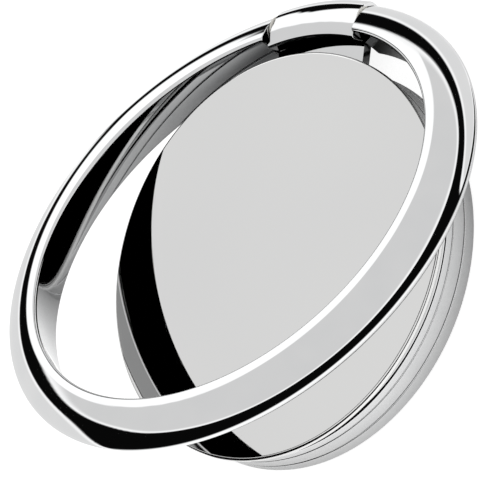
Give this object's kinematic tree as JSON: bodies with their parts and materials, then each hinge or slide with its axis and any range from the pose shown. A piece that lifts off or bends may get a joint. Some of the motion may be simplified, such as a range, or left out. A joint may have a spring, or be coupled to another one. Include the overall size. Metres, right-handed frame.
{
  "type": "phone ring holder",
  "caption": "Stick-on phone ring holder: a round swivel base with a mirror face and a chrome finger ring on a friction hinge at its edge.",
  "frame": {"origin": "centre of the adhesive face, which sticks to the phone", "axes": "+Z out of the mirror face, +Y from the disc's axis towards the hinge, X along the hinge pin"},
  "size_m": [0.039, 0.0366, 0.0167],
  "materials": {
    "chrome": "bright chrome plate on die-cast zinc, polished to a mirror",
    "mirror_face": "stainless steel sheet polished to a mirror",
    "steel": "plain turned and stamped steel",
    "acetal": "natural white acetal",
    "adhesive": "black acrylic foam tape"
  },
  "bodies": {
    "base": {"adhesive_pad": "adhesive", "base_plate": "chrome", "centre_rivet": "steel", "glide_washer": "acetal", "spring_washer": "steel"},
    "turntable": {"turntable": "chrome", "top_housing": "chrome", "cover_tape": "adhesive", "cover_plate": "mirror_face", "flat_washer": "steel", "hinge_bush_right": "acetal", "hinge_bush_left": "acetal"},
    "ring": {"ring": "chrome", "hinge_pin": "steel"}
  },
  "joints": [
    {"name": "swivel", "type": "hinge", "parent": "base", "child": "turntable", "pos_m": [0, 0, 0], "axis": [0, 0, 1], "continuous": true},
    {"name": "ring_flip", "type": "hinge", "parent": "turntable", "child": "ring", "pos_m": [0, 0.01755, 0.00247], "axis": [-1, 0, 0], "range_deg": [-22, 158]}
  ]
}
